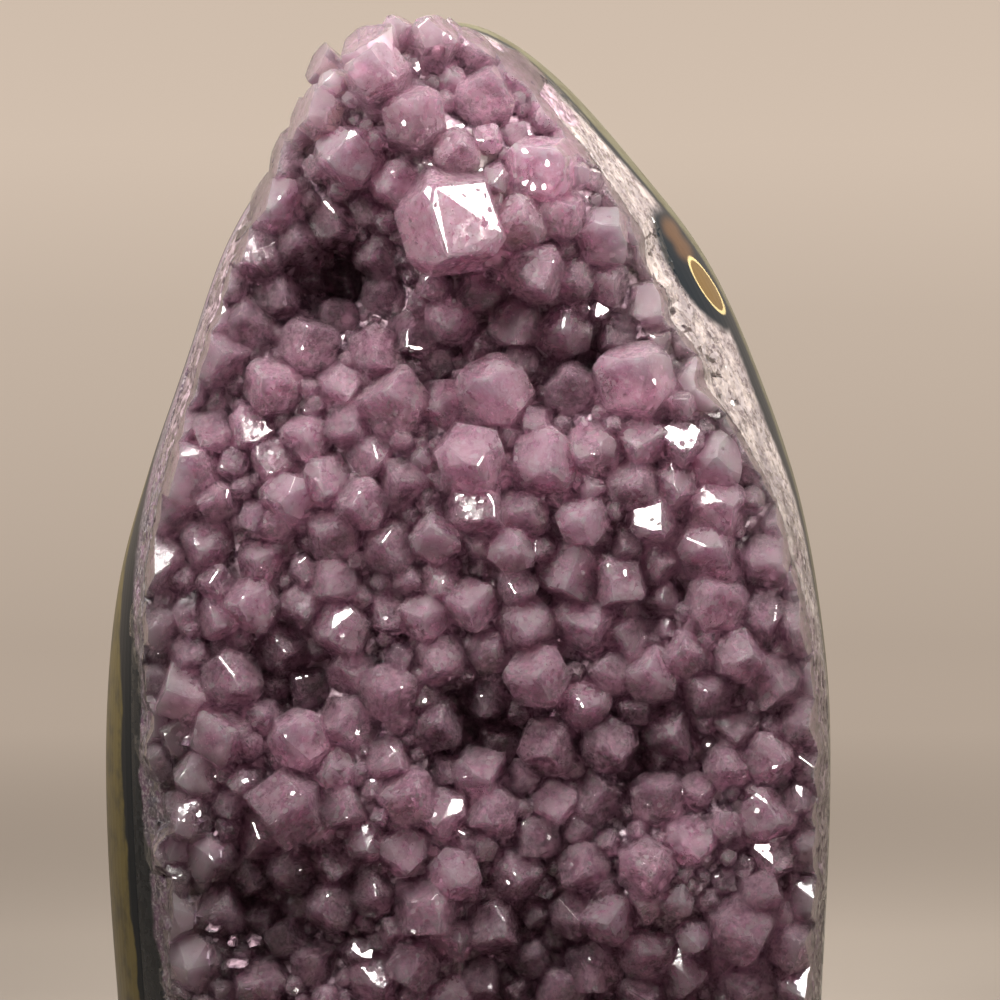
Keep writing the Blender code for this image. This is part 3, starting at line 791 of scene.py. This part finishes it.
def centred(piece: bpy.types.Object, arch: Arch) -> bpy.types.Object:
    """Stores what the finishes need to know of the edge, in millimetres, and moves the piece to the centre.

    Args:
        piece: the piece, which changes.
        arch: the slab's form.

    Returns:
        The piece.
    """
    places = np.empty(len(piece.data.vertices) * 3)
    piece.data.vertices.foreach_get("co", places)
    places = places.reshape(-1, 3)
    flat, depth = places[:, [0, 2]], places[:, 1]
    inset, widths = arch.measure(flat)
    values = {
        "inset": inset,
        "bare": widths[:, 1],
        "skin": widths[:, 2],
        "agate": widths[:, 3],
        "above": depth - arch.edge_y(np.maximum(inset, 0), widths[:, 0]),
        "behind": depth - arch.edge_back,
        # proud is how far the surface stands out of the crown; the amethyst turns it into painted shade and
        # light.
        "proud": -depth - arch.crown(inset),
        "rough": np.clip(depth - arch.back_y(flat) + arch.rough_skin, 0, MM),
    }
    for name, column in values.items():
        layer = piece.data.attributes.new(name, "FLOAT", "POINT")
        layer.data.foreach_set("value", (column / MM).astype(np.float32))
    piece.data.transform(Matrix.Translation((*arch.centre, 0)))
    return piece


class NodeSketch:
    """Draws a material's nodes by short calls."""

    def __init__(self, name: str) -> None:
        """Starts a material with only its output."""
        self.material = bpy.data.materials.new(name)
        self.material.use_nodes = True
        self.tree = self.material.node_tree
        self.tree.nodes.clear()
        self.output = self.tree.nodes.new("ShaderNodeOutputMaterial")

    def node(self, kind: str, settings: dict | None = None,
             **inputs: Socket | float | tuple) -> bpy.types.Node:
        """Adds a node.

        Args:
            kind: the node's type, without its ShaderNode prefix.
            settings: properties of the node.
            **inputs: values or sockets for its inputs, by name with underscores for spaces, or in0, in1 by
                order.

        Returns:
            The node.
        """
        node = self.tree.nodes.new("ShaderNode" + kind)
        for key, value in (settings or {}).items():
            setattr(node, key, value)
        for key, value in inputs.items():
            by_order = key[:2] == "in" and key[2:].isdigit()
            socket = node.inputs[int(key[2:])] if by_order else node.inputs[key.replace("_", " ")]
            if isinstance(value, Socket):
                self.tree.links.new(value, socket)
            else:
                socket.default_value = value
        return node

    def math(self, operation: str, a: Socket | float, b: Socket | float = 0.0) -> Socket:
        """Adds a sum, product or other calculation of two values."""
        return self.node("Math", {"operation": operation}, in0=a, in1=b).outputs[0]

    def vector(self, operation: str, **inputs: Socket | float | tuple) -> Socket:
        """Adds a calculation with vectors, whose inputs are given as for a node."""
        return self.node("VectorMath", {"operation": operation}, **inputs).outputs[0]

    def ramp(self, value: Socket, low: float, high: float, to_low: float = 0.0,
             to_high: float = 1.0) -> Socket:
        """Maps a value smoothly from the range low to high to the range to_low to to_high."""
        return self.node("MapRange", {"interpolation_type": "SMOOTHSTEP"}, in0=value, in1=low, in2=high,
                         in3=to_low, in4=to_high).outputs[0]

    def mix(self, share: Socket | float, a: Socket | tuple, b: Socket | tuple, blend: str = "MIX") -> Socket:
        """Mixes two colours.

        Args:
            share: how much of the second colour shows.
            a: the first colour.
            b: the second colour.
            blend: the way of mixing.

        Returns:
            The mixed colour's socket.
        """
        node = self.node("Mix", {"data_type": "RGBA", "blend_type": blend}, in0=share)
        for index, value in ((6, a), (7, b)):
            if isinstance(value, Socket):
                self.tree.links.new(value, node.inputs[index])
            else:
                node.inputs[index].default_value = (*value, 1.0)
        return node.outputs[2]

    def over(self, colour: Socket | tuple, *layers: tuple) -> Socket:
        """Lays colours over a colour, one after the other.

        Args:
            colour: the colour beneath.
            *layers: for each a value, the range that makes it a share, as ramp takes it, and its colour.

        Returns:
            The colour's socket.
        """
        for value, span, tint in layers:
            colour = self.mix(self.ramp(value, *span), colour, tint)
        return colour

    def noise(self, scale: float, detail: float = 3.0, rough: float = 0.55) -> Socket:
        """Adds smooth noise from 0 to 1, with its features in a metre, finer layers and their strength."""
        node = self.node("TexNoise", None, Vector=self.world, Scale=scale, Detail=detail, Roughness=rough)
        return node.outputs[0]

    def grains(self, scale: float) -> Socket:
        """Divides space into grains, as many in a metre as scale says, with a random vector for each."""
        return self.node("TexVoronoi", {"feature": "F1"}, Vector=self.world, Scale=scale).outputs["Color"]

    def axes(self, vector: Socket) -> bpy.types.NodeOutputs:
        """Splits a vector and returns the sockets of its x, y and z."""
        return self.node("SeparateXYZ", None, Vector=vector).outputs

    @cached_property
    def world(self) -> Socket:
        """The object's own coordinates."""
        return self.node("TexCoord").outputs["Object"]

    def attribute(self, name: str) -> Socket:
        """Returns a float attribute of the mesh."""
        return self.node("Attribute", {"attribute_name": name}).outputs["Fac"]

    def past(self, name: str) -> Socket:
        """Returns how far inside the edge of the band with this name a point lies, in millimetres."""
        return self.math("SUBTRACT", self.attribute("inset"), self.attribute(name))

    def finish(self, shader: Socket, volume: Socket | None = None) -> bpy.types.Material:
        """Links what the material shows.

        Args:
            shader: the surface.
            volume: what fills it, where there is something.

        Returns:
            The material.
        """
        self.tree.links.new(shader, self.output.inputs["Surface"])
        if volume is not None:
            self.tree.links.new(volume, self.output.inputs["Volume"])
        return self.material


@dataclass(frozen=True)
class GrainTilt:
    """How far the faces of small grains are tilted: most a little, and a few much."""

    most: float
    few: float
    few_from: tuple = (0.90, 0.91)

    def normal(self, sketch: NodeSketch, grains: Socket, share: Socket | float = 1.0) -> Socket:
        """Tilts the normal in each grain of the surface.

        Args:
            sketch: the material's nodes.
            grains: a random vector for each grain.
            share: how much of the tilt shows, from 0 to 1.

        Returns:
            The normal's socket.
        """
        tilt = sketch.ramp(sketch.axes(grains)[2], *self.few_from, self.most, self.few)
        away = sketch.vector("SUBTRACT", in0=grains, in1=(0.5, 0.5, 0.5))
        turned = sketch.vector("SCALE", in0=away, Scale=sketch.math("MULTIPLY", tilt, share))
        total = sketch.vector("ADD", in0=sketch.node("NewGeometry").outputs["Normal"], in1=turned)
        return sketch.vector("NORMALIZE", in0=total)


@dataclass(frozen=True)
class AmethystFinish:
    """Milky amethyst: paler by the bare quartz, with veins, flecks, fractures, and painted shade in gaps and
    hollows.

    Scales are features in a metre. A span is the two ends of a value, and what they become if not 0 and 1.
    Noise is its scale, its finer layers and their strength.
    """

    pale: tuple = (0.86, 0.57, 0.68)
    deep: tuple = (0.66, 0.37, 0.50)
    milk: tuple = (0.94, 0.74, 0.81)
    # Painted shade deep down between the points, and also the colour of the dark flecks.
    dark_fleck_and_gap_shade: tuple = (0.27, 0.155, 0.21)
    absorption: tuple = (0.73, 0.49, 0.61)
    density: float = 35.0
    transmission: float = 0.86
    ior: float = 1.544
    milkiness: float = 1.0
    milk_depth: float = 0.010
    milk_reach: tuple = (0.85, 0.75, 0.85)
    clouds: tuple = (380.0, 3, 0.6)
    cloud_span: tuple = (0.40, 0.62)
    cloud_lift: float = 0.8
    veins: tuple = (700.0, 3, 0.6)
    vein_span: tuple = (0.0, 0.03, 0.7, 0.0)
    flecks: tuple = (2300.0, 3, 0.7)
    pale_flecks: tuple = (0.56, 0.70, 0.0, 0.7)
    dark_flecks: tuple = (0.30, 0.44, 0.6, 0.0)
    shard_scale: float = 1250.0
    deep_shards: tuple = (0.0, 1.0, 0.0, 0.35)
    pale_shards: tuple = (0.86, 0.97, 0.0, 0.9)
    tilt: GrainTilt = GrainTilt(0.022, 1.0)
    # Where the painted gap shade starts and ends under a tip, in radii, and how strong it grows.
    gap_shade_span: tuple = (1.0, 2.1, 0.0, 0.7)
    rim_span: tuple = (0.0, 11.0, 0.65, 0.0)
    # Painted shade in the hollows and a little painted light where it stands proud, by how far it stands out.
    hollow_shade: tuple = (-4.0, 9.0, 0.48, 1.08)
    shades: tuple = (0.0, 1.0, 0.74, 1.08)
    roughness: tuple = (0.35, 0.7, 0.03, 0.18)

    def material(self) -> bpy.types.Material:
        """Draws the material.

        Returns:
            The material.
        """
        sketch = NodeSketch("amethyst")
        along = sketch.axes(sketch.node("UVMap", {"uv_map": "depth"}).outputs[0])
        clouds, flecks = sketch.noise(*self.clouds), sketch.noise(*self.flecks)
        veins = sketch.math("ABSOLUTE", sketch.math("SUBTRACT", sketch.noise(*self.veins), 0.5))
        shards = sketch.grains(self.shard_scale)
        shard = sketch.axes(shards)
        # How far under its tip a point lies, in radii: deep down between the points it gets painted shade.
        below = sketch.math("SUBTRACT", sketch.math("MULTIPLY", clouds, self.cloud_lift), along[0])
        colour = sketch.over(self.pale, (clouds, self.cloud_span, self.deep),
                             (shard[0], self.deep_shards, self.deep), (veins, self.vein_span, self.milk),
                             (shard[1], self.pale_shards, self.milk), (flecks, self.pale_flecks, self.milk),
                             (flecks, self.dark_flecks, self.dark_fleck_and_gap_shade), (below, self.gap_shade_span, self.dark_fleck_and_gap_shade),
                             (sketch.past("bare"), self.rim_span, self.milk))
        # Painted shade darkens the hollows and painted light lifts the proud parts, times each crystal's own
        # tone.
        hollow_shade = sketch.ramp(sketch.attribute("proud"), *self.hollow_shade)
        shade = sketch.math("MULTIPLY", sketch.ramp(along[1], *self.shades), hollow_shade)
        shade = sketch.node("CombineXYZ", None, X=shade, Y=shade, Z=shade).outputs[0]
        shader = sketch.node("BsdfPrincipled", None, Base_Color=sketch.mix(1.0, colour, shade, "MULTIPLY"),
                             Roughness=sketch.ramp(clouds, *self.roughness), IOR=self.ior,
                             Normal=self.tilt.normal(sketch, shards), Transmission_Weight=self.transmission,
                             Subsurface_Weight=self.milkiness, Subsurface_Radius=self.milk_reach,
                             Subsurface_Scale=self.milk_depth)
        volume = sketch.node("VolumeAbsorption", None, Color=(*self.absorption, 1.0), Density=self.density)
        return sketch.finish(shader.outputs[0], volume.outputs[0])


@dataclass(frozen=True)
class AgateEye:
    """An agate eye on the polish at the upper right: a dark halo, rusty streaks and an almond in it.

    Ovals are half length and half width, in millimetres, and shifts run along the eye's length.
    """

    place: tuple = (42.5, 0.0, 180.2)
    turn: float = math.radians(57)
    halo: tuple = (13.5, 4.4)
    halo_wave: float = 0.5
    halo_span: tuple = (1.15, 1.4, 1.0, 0.0)
    streak: tuple = (3.0, 1.7)
    streak_shifts: tuple = (-8.5, -4.5)
    streak_span: tuple = (0.3, 1.3, 0.7, 0.0)
    almond: tuple = (6.1, 1.4)
    almond_shift: float = 3.6
    almond_span: tuple = (0.98, 1.1, 1.0, 0.0)
    kernel_span: tuple = (0.86, 0.94, 1.0, 0.0)
    rust: tuple = (0.085, 0.045, 0.024)
    yellow: tuple = (0.40, 0.31, 0.15)
    kernel: tuple = (0.095, 0.058, 0.022)

    def oval(self, sketch: NodeSketch, size: tuple, shift: float = 0.0) -> Socket:
        """Measures how far a point lies from an oval's middle, in the oval's radii.

        Args:
            sketch: the material's nodes.
            size: the oval's half length and half width.
            shift: how far the oval's middle lies along the eye's length.

        Returns:
            The distance's socket: 1 on the oval.
        """
        lengthwise = Vector((math.cos(self.turn), 0, -math.sin(self.turn)))
        middle = (Vector(self.place) + lengthwise * shift) * MM
        away = sketch.vector("SUBTRACT", in0=sketch.world, in1=middle)
        turned = sketch.node("VectorRotate", {"rotation_type": "Y_AXIS"}, Vector=away, Angle=-self.turn)
        radii = (1 / (size[0] * MM), 0.0, 1 / (size[1] * MM))
        scaled = sketch.vector("MULTIPLY", in0=turned.outputs[0], in1=radii)
        return sketch.node("VectorMath", {"operation": "LENGTH"}, in0=scaled).outputs["Value"]

    def draw(self, sketch: NodeSketch, waves: Socket, colour: Socket, agate: tuple) -> Socket:
        """Draws the eye over a colour.

        Args:
            sketch: the material's nodes.
            waves: noise that makes the halo's edge uneven.
            colour: the colour round the eye.
            agate: the halo's colour.

        Returns:
            The colour's socket.
        """
        wave = sketch.math("MULTIPLY", waves, self.halo_wave)
        halo = sketch.math("ADD", self.oval(sketch, self.halo), wave)
        almond = self.oval(sketch, self.almond, self.almond_shift)
        streaks = [(self.oval(sketch, self.streak, shift), self.streak_span, self.rust)
                   for shift in self.streak_shifts]
        return sketch.over(colour, (halo, self.halo_span, agate), *streaks,
                           (almond, self.almond_span, self.yellow), (almond, self.kernel_span, self.kernel))


@dataclass(frozen=True)
class EdgeBands:
    """What the polish lays bare: olive skin, black agate and quartz, with the eye in them."""

    olive: tuple = (0.125, 0.096, 0.030)
    olive_grey: tuple = (0.085, 0.080, 0.050)
    olive_dark: tuple = (0.045, 0.038, 0.020)
    agate: tuple = (0.007, 0.010, 0.013)
    eye: AgateEye = AgateEye()
    grey_x: tuple = (-0.055, -0.025)
    waves: tuple = (60.0, 4)
    sway: tuple = (0.0, 1.0, 0.72, 1.28)
    mottle: tuple = (210.0, 5, 0.65)
    mottle_span: tuple = (0.42, 0.66, 0.0, 0.75)
    skin_span: tuple = (-0.25, 0.25)
    agate_span: tuple = (-0.3, 0.6)
    front_span: tuple = (-1.0, 0.5, 1.0, 0.0)

    def draw(self, sketch: NodeSketch, quartz: Socket) -> Socket:
        """Draws the bands and the eye over the quartz.

        Args:
            sketch: the material's nodes.
            quartz: the colour inside the bands.

        Returns:
            The colour's socket.
        """
        waves = sketch.noise(*self.waves)
        sway = sketch.ramp(waves, *self.sway)
        inset = sketch.attribute("inset")
        past_skin, past_agate = (
            sketch.math("SUBTRACT", inset, sketch.math("MULTIPLY", sketch.attribute(band), sway))
            for band in ("skin", "agate"))
        olive = sketch.over(self.olive, (sketch.axes(sketch.world)[0], self.grey_x, self.olive_grey),
                            (sketch.noise(*self.mottle), self.mottle_span, self.olive_dark))
        inner = sketch.over(self.agate, (past_agate, self.agate_span, quartz))
        inner = self.eye.draw(sketch, waves, inner, self.agate)
        front = sketch.ramp(sketch.attribute("behind"), *self.front_span)
        bare = sketch.math("MULTIPLY", sketch.ramp(past_skin, *self.skin_span), front)
        return sketch.mix(bare, olive, inner)


@dataclass(frozen=True)
class GroundQuartz:
    """Ground quartz: dark and smoky on the left, pale and sugary on the right."""

    white: tuple = (0.31, 0.26, 0.24)
    grey: tuple = (0.075, 0.055, 0.058)
    smoky: tuple = (0.075, 0.060, 0.075)
    frost: tuple = (0.38, 0.33, 0.34)
    lilac: tuple = (0.13, 0.07, 0.11)
    grain_scale: float = 1000.0
    patches: tuple = (190.0, 5, 0.65)
    smoky_patches: tuple = (0.42, 0.58)
    pale_patches: tuple = (0.46, 0.60)
    speckle: tuple = (1700.0, 3, 0.7)
    smoky_speckle: tuple = (0.45, 0.70, 0.0, 0.9)
    pale_speckle: tuple = (0.45, 0.65, 0.0, 0.8)
    frosted: tuple = (0.0, 1.0, 0.0, 0.5)
    pale_x: tuple = (-0.03, 0.01)

    def draw(self, sketch: NodeSketch, grain: Socket) -> Socket:
        """Draws the quartz.

        Args:
            sketch: the material's nodes.
            grain: a value of its own for each grain.

        Returns:
            The colour's socket.
        """
        patches, speckle = sketch.noise(*self.patches), sketch.noise(*self.speckle)
        left = sketch.over(self.smoky, (patches, self.smoky_patches, self.lilac),
                           (speckle, self.smoky_speckle, self.frost))
        right = sketch.over(self.grey, (patches, self.pale_patches, self.white),
                            (grain, self.frosted, self.frost), (speckle, self.pale_speckle, self.white))
        return sketch.over(left, (sketch.axes(sketch.world)[0], self.pale_x, right))


@dataclass(frozen=True)
class QuartzFinish:
    """Sugary pale quartz, ground at the edge and tinted by the amethyst further in, with painted shade on its
    rim.
    """

    tinted: tuple = (0.40, 0.28, 0.33)
    purple: tuple = (0.065, 0.030, 0.050)
    quartz: GroundQuartz = GroundQuartz()
    bands: EdgeBands = EdgeBands()
    ior: float = 1.544
    sugar_span: tuple = (0.0, 1.0, 0.2, 1.0)
    tint_span: tuple = (-3.0, 5.0)
    holes: tuple = (480.0, 4, 0.7)
    hole_span: tuple = (0.40, 0.62)
    # The painted shade on the sloped rim near the outline: where it starts and ends, in millimetres, and its
    # strength.
    rim_span: tuple = (1.0, 7.0, 0.6, 0.0)
    ground_span: tuple = (0.05, 0.5, 1.0, 0.0)
    tilt: GrainTilt = GrainTilt(0.8, 1.4)
    tilt_span: tuple = (-0.5, 1.0)
    roughness: tuple = (0.0, 1.0, 0.08, 0.45)

    def material(self) -> bpy.types.Material:
        """Draws the material.

        Returns:
            The material.
        """
        sketch = NodeSketch("pale_quartz")
        grains = sketch.grains(self.quartz.grain_scale)
        grain = sketch.axes(grains)[0]
        sugar = sketch.over(self.quartz.grey, (grain, self.sugar_span, self.quartz.white))
        inner = sketch.over(self.tinted, (sketch.noise(*self.holes), self.hole_span, self.purple))
        # The grey near the outline is painted shade on the bed's sloped rim, not a change in the quartz.
        colour = sketch.over(sugar, (sketch.past("bare"), self.tint_span, inner),
                             (sketch.attribute("inset"), self.rim_span, self.quartz.grey),
                             (sketch.attribute("above"), self.ground_span, self.quartz.draw(sketch, grain)))
        tilted = self.tilt.normal(sketch, grains, sketch.ramp(sketch.past("agate"), *self.tilt_span))
        shader = sketch.node("BsdfPrincipled", None, Base_Color=self.bands.draw(sketch, colour),
                             Roughness=sketch.ramp(grain, *self.roughness), IOR=self.ior, Normal=tilted)
        return sketch.finish(shader.outputs[0])


@dataclass(frozen=True)
class RindFinish:
    """Polished agate under an olive skin, and rough basalt behind."""

    basalt: tuple = (0.075, 0.070, 0.062)
    clay: tuple = (0.18, 0.150, 0.105)
    speck: tuple = (0.34, 0.31, 0.27)
    quartz: GroundQuartz = GroundQuartz()
    bands: EdgeBands = EdgeBands()
    patches: tuple = (75.0, 8, 0.72)
    clay_span: tuple = (0.40, 0.62)
    speck_scale: float = 640.0
    speck_span: tuple = (0.62, 0.70, 0.0, 0.8)
    relief: tuple = (420.0, 6, 0.65)
    relief_height: float = 0.0022
    relief_strength: float = 0.9
    roughness: tuple = (0.0, 1.0, 0.34, 0.85)
    sheen: float = 0.1

    def material(self) -> bpy.types.Material:
        """Draws the material.

        Returns:
            The material.
        """
        sketch = NodeSketch("agate_and_basalt")
        rough = sketch.attribute("rough")
        grain = sketch.axes(sketch.grains(self.quartz.grain_scale))[0]
        polished = self.bands.draw(sketch, self.quartz.draw(sketch, grain))
        back = sketch.over(self.basalt, (sketch.noise(*self.patches), self.clay_span, self.clay),
                           (sketch.noise(self.speck_scale), self.speck_span, self.speck))
        relief = sketch.math("MULTIPLY", sketch.noise(*self.relief), rough)
        bump = sketch.node("Bump", None, Height=relief, Strength=self.relief_strength,
                           Distance=self.relief_height)
        shader = sketch.node("BsdfPrincipled", None, Base_Color=sketch.mix(rough, polished, back),
                             Roughness=sketch.ramp(rough, *self.roughness), Normal=bump.outputs[0],
                             Specular_IOR_Level=self.sheen)
        return sketch.finish(shader.outputs[0])


@dataclass(frozen=True)
class Softbox:
    """A rectangular light: its place and size in metres, how bright its face is, and its colour."""

    name: str
    place: tuple
    width: float
    height: float
    radiance: float
    colour: tuple
    aim: tuple = (0.01, 0.0, 0.260)
    spread: float = math.radians(40)

    def hang(self) -> None:
        """Hangs the light so that it faces the cluster's upper part."""
        data = bpy.data.lights.new(self.name, "AREA")
        data.shape = "RECTANGLE"
        data.size, data.size_y = self.width, self.height
        data.energy = self.radiance * math.pi * self.width * self.height
        data.spread = self.spread
        data.color = self.colour
        light = bpy.data.objects.new(self.name, data)
        light.location = self.place
        light.rotation_euler = (Vector(self.aim) - Vector(self.place)).to_track_quat("-Z", "Y").to_euler()
        bpy.context.scene.collection.objects.link(light)


@dataclass(frozen=True)
class Studio:
    """The camera, the lights and the plain pale sweep behind the cluster.

    A shade of the paper is how far along it stands and its share of the glow.
    """

    aim: tuple = (6.3 * MM, 30 * MM, 135.6 * MM)
    distance: float = 0.80
    elevation: float = math.radians(4)
    lens: float = 150.3
    sensor: float = 36.0
    softboxes: tuple = (
        Softbox("key", (-0.38, -0.34, 0.56), 0.17, 0.17, 8.0, (1.0, 0.97, 0.92)),
        Softbox("side", (0.50, -0.22, 0.44), 0.15, 0.18, 5.2, (1.0, 0.96, 0.90)),
        Softbox("top", (0.05, -0.24, 0.72), 0.20, 0.15, 7.6, (1.0, 0.98, 0.95)),
    )
    sky: tuple = (0.95, 0.90, 0.83)
    sky_strength: float = 0.09
    backdrop: tuple = (0.25, 0.215, 0.185)
    glow: tuple = (0.50, 0.41, 0.335)
    paper_front: float = 2.0
    paper_length: float = 5.0
    paper_half_width: float = 4.0
    paper_steps: int = 100
    paper_roughness: float = 0.95
    paper_sheen: float = 0.1
    floor_end: float = 0.9
    sweep_radius: float = 0.8
    paper_shades: tuple = ((0.24, 0.20), (0.32, 0.42), (0.45, 0.52), (0.75, 0.77), (1.0, 0.78), (1.38, 1.02),
                           (1.51, 1.20), (1.75, 1.14))
    brightest_bounce: float = 4.0
    bounces: int = 9
    diffuse_bounces: int = 3
    glossy_bounces: int = 3
    transmission_bounces: int = 8

    def camera(self) -> None:
        """Sets the camera up."""
        data = bpy.data.cameras.new("camera")
        data.lens = self.lens
        data.sensor_width = self.sensor
        camera = bpy.data.objects.new("camera", data)
        away = Vector((0, -math.cos(self.elevation), math.sin(self.elevation)))
        camera.location = Vector(self.aim) + away * self.distance
        camera.rotation_euler = (-away).to_track_quat("-Z", "Y").to_euler()
        bpy.context.scene.collection.objects.link(camera)
        bpy.context.scene.camera = camera

    def sweep(self) -> None:
        """Lays the floor and the wall behind it, joined by a round sweep, of paper with a painted glow."""
        build = bmesh.new()
        bmesh.ops.create_grid(build, x_segments=1, y_segments=self.paper_steps, size=1)
        layer = build.loops.layers.uv.new("paper")
        for face in build.faces:
            for loop in face.loops:
                loop[layer].uv = ((loop.vert.co.x + 1) / 2, (loop.vert.co.y + 1) / 2)
        for vert in build.verts:
            run = (vert.co.y + 1) / 2 * self.paper_length - self.paper_front
            turn = min(max((run - self.floor_end) / self.sweep_radius, 0), math.pi / 2)
            level = max(run - self.floor_end - self.sweep_radius * math.pi / 2, 0)
            vert.co = (vert.co.x * self.paper_half_width,
                       min(run, self.floor_end) + self.sweep_radius * math.sin(turn),
                       self.sweep_radius * (1 - math.cos(turn)) + level)
        bmesh.ops.recalc_face_normals(build, faces=build.faces)
        sweep = new_object("sweep", build)
        sweep.data.shade_smooth()
        sweep.data.materials.append(self.paper())
        sweep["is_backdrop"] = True

    def paper(self) -> bpy.types.Material:
        """Draws the paper with its glow.

        Returns:
            The material.
        """
        sketch = NodeSketch("paper")
        along = sketch.axes(sketch.node("UVMap", {"uv_map": "paper"}).outputs[0])[1]
        ramp = sketch.node("ValToRGB", None, Fac=along)
        stops = ramp.color_ramp.elements
        for number, (run, share) in enumerate(self.paper_shades):
            stop = stops[number] if number < len(stops) else stops.new(1.0)
            stop.position = (run + self.paper_front) / self.paper_length
            stop.color = (*(channel * share for channel in self.glow), 1.0)
        # The glow is painted light: dim at the floor's front and brightest up the wall, by paper_shades.
        shader = sketch.node("BsdfPrincipled", None, Base_Color=(*self.backdrop, 1.0),
                             Roughness=self.paper_roughness, Specular_IOR_Level=self.paper_sheen,
                             Emission_Color=ramp.outputs[0], Emission_Strength=1.0)
        return sketch.finish(shader.outputs[0])

    def light_up(self) -> None:
        """Hangs the lights and sets the sky."""
        for softbox in self.softboxes:
            softbox.hang()
        world = bpy.data.worlds.new("sky")
        world.use_nodes = True
        background = world.node_tree.nodes["Background"]
        background.inputs["Color"].default_value = (*self.sky, 1.0)
        background.inputs["Strength"].default_value = self.sky_strength
        bpy.context.scene.world = world

    def expose(self) -> None:
        """Sets how the picture is developed."""
        scene = bpy.context.scene
        scene.view_settings.view_transform = "Standard"
        scene.cycles.sample_clamp_indirect = self.brightest_bounce
        scene.cycles.max_bounces = self.bounces
        scene.cycles.diffuse_bounces = self.diffuse_bounces
        scene.cycles.glossy_bounces = self.glossy_bounces
        scene.cycles.transmission_bounces = self.transmission_bounces


def dress(piece: bpy.types.Object, material: bpy.types.Material, node: str | None,
          box: np.ndarray) -> None:
    """Gives a piece its material and its place in the model, within the solids' box.

    Args:
        piece: the piece.
        material: its finish.
        node: the solid that it stands for, where there is one.
        box: the lowest and highest corner that it may reach.
    """
    places = np.empty(len(piece.data.vertices) * 3)
    piece.data.vertices.foreach_get("co", places)
    piece.data.vertices.foreach_set("co", np.clip(places.reshape(-1, 3), *box).ravel())
    piece.data.materials.clear()
    piece.data.materials.append(material)
    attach(piece, BODY)
    if node:
        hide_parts(node)
    LOG.info("%s: %d faces", piece.name, len(piece.data.polygons))


def main() -> None:
    """Builds the studio and the pieces."""
    logging.basicConfig(level=logging.INFO, format="%(message)s")
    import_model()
    solid_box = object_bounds()
    studio = Studio()
    studio.camera()
    studio.light_up()
    studio.sweep()
    studio.expose()

    arch = Arch()
    blank = SlabBlank(arch)
    box = np.array(solid_box, dtype=float)
    dress(AgateRind(arch, blank).build(), RindFinish().material(), "agate_rind", box)
    dress(QuartzBed(arch, blank).build(), QuartzFinish().material(), "amethyst_crust", box)
    points = AmethystPoints(arch, blank, QuartzHabit()).build()
    dress(points, AmethystFinish().material(), None, box)


if __name__ == "__main__":
    main()
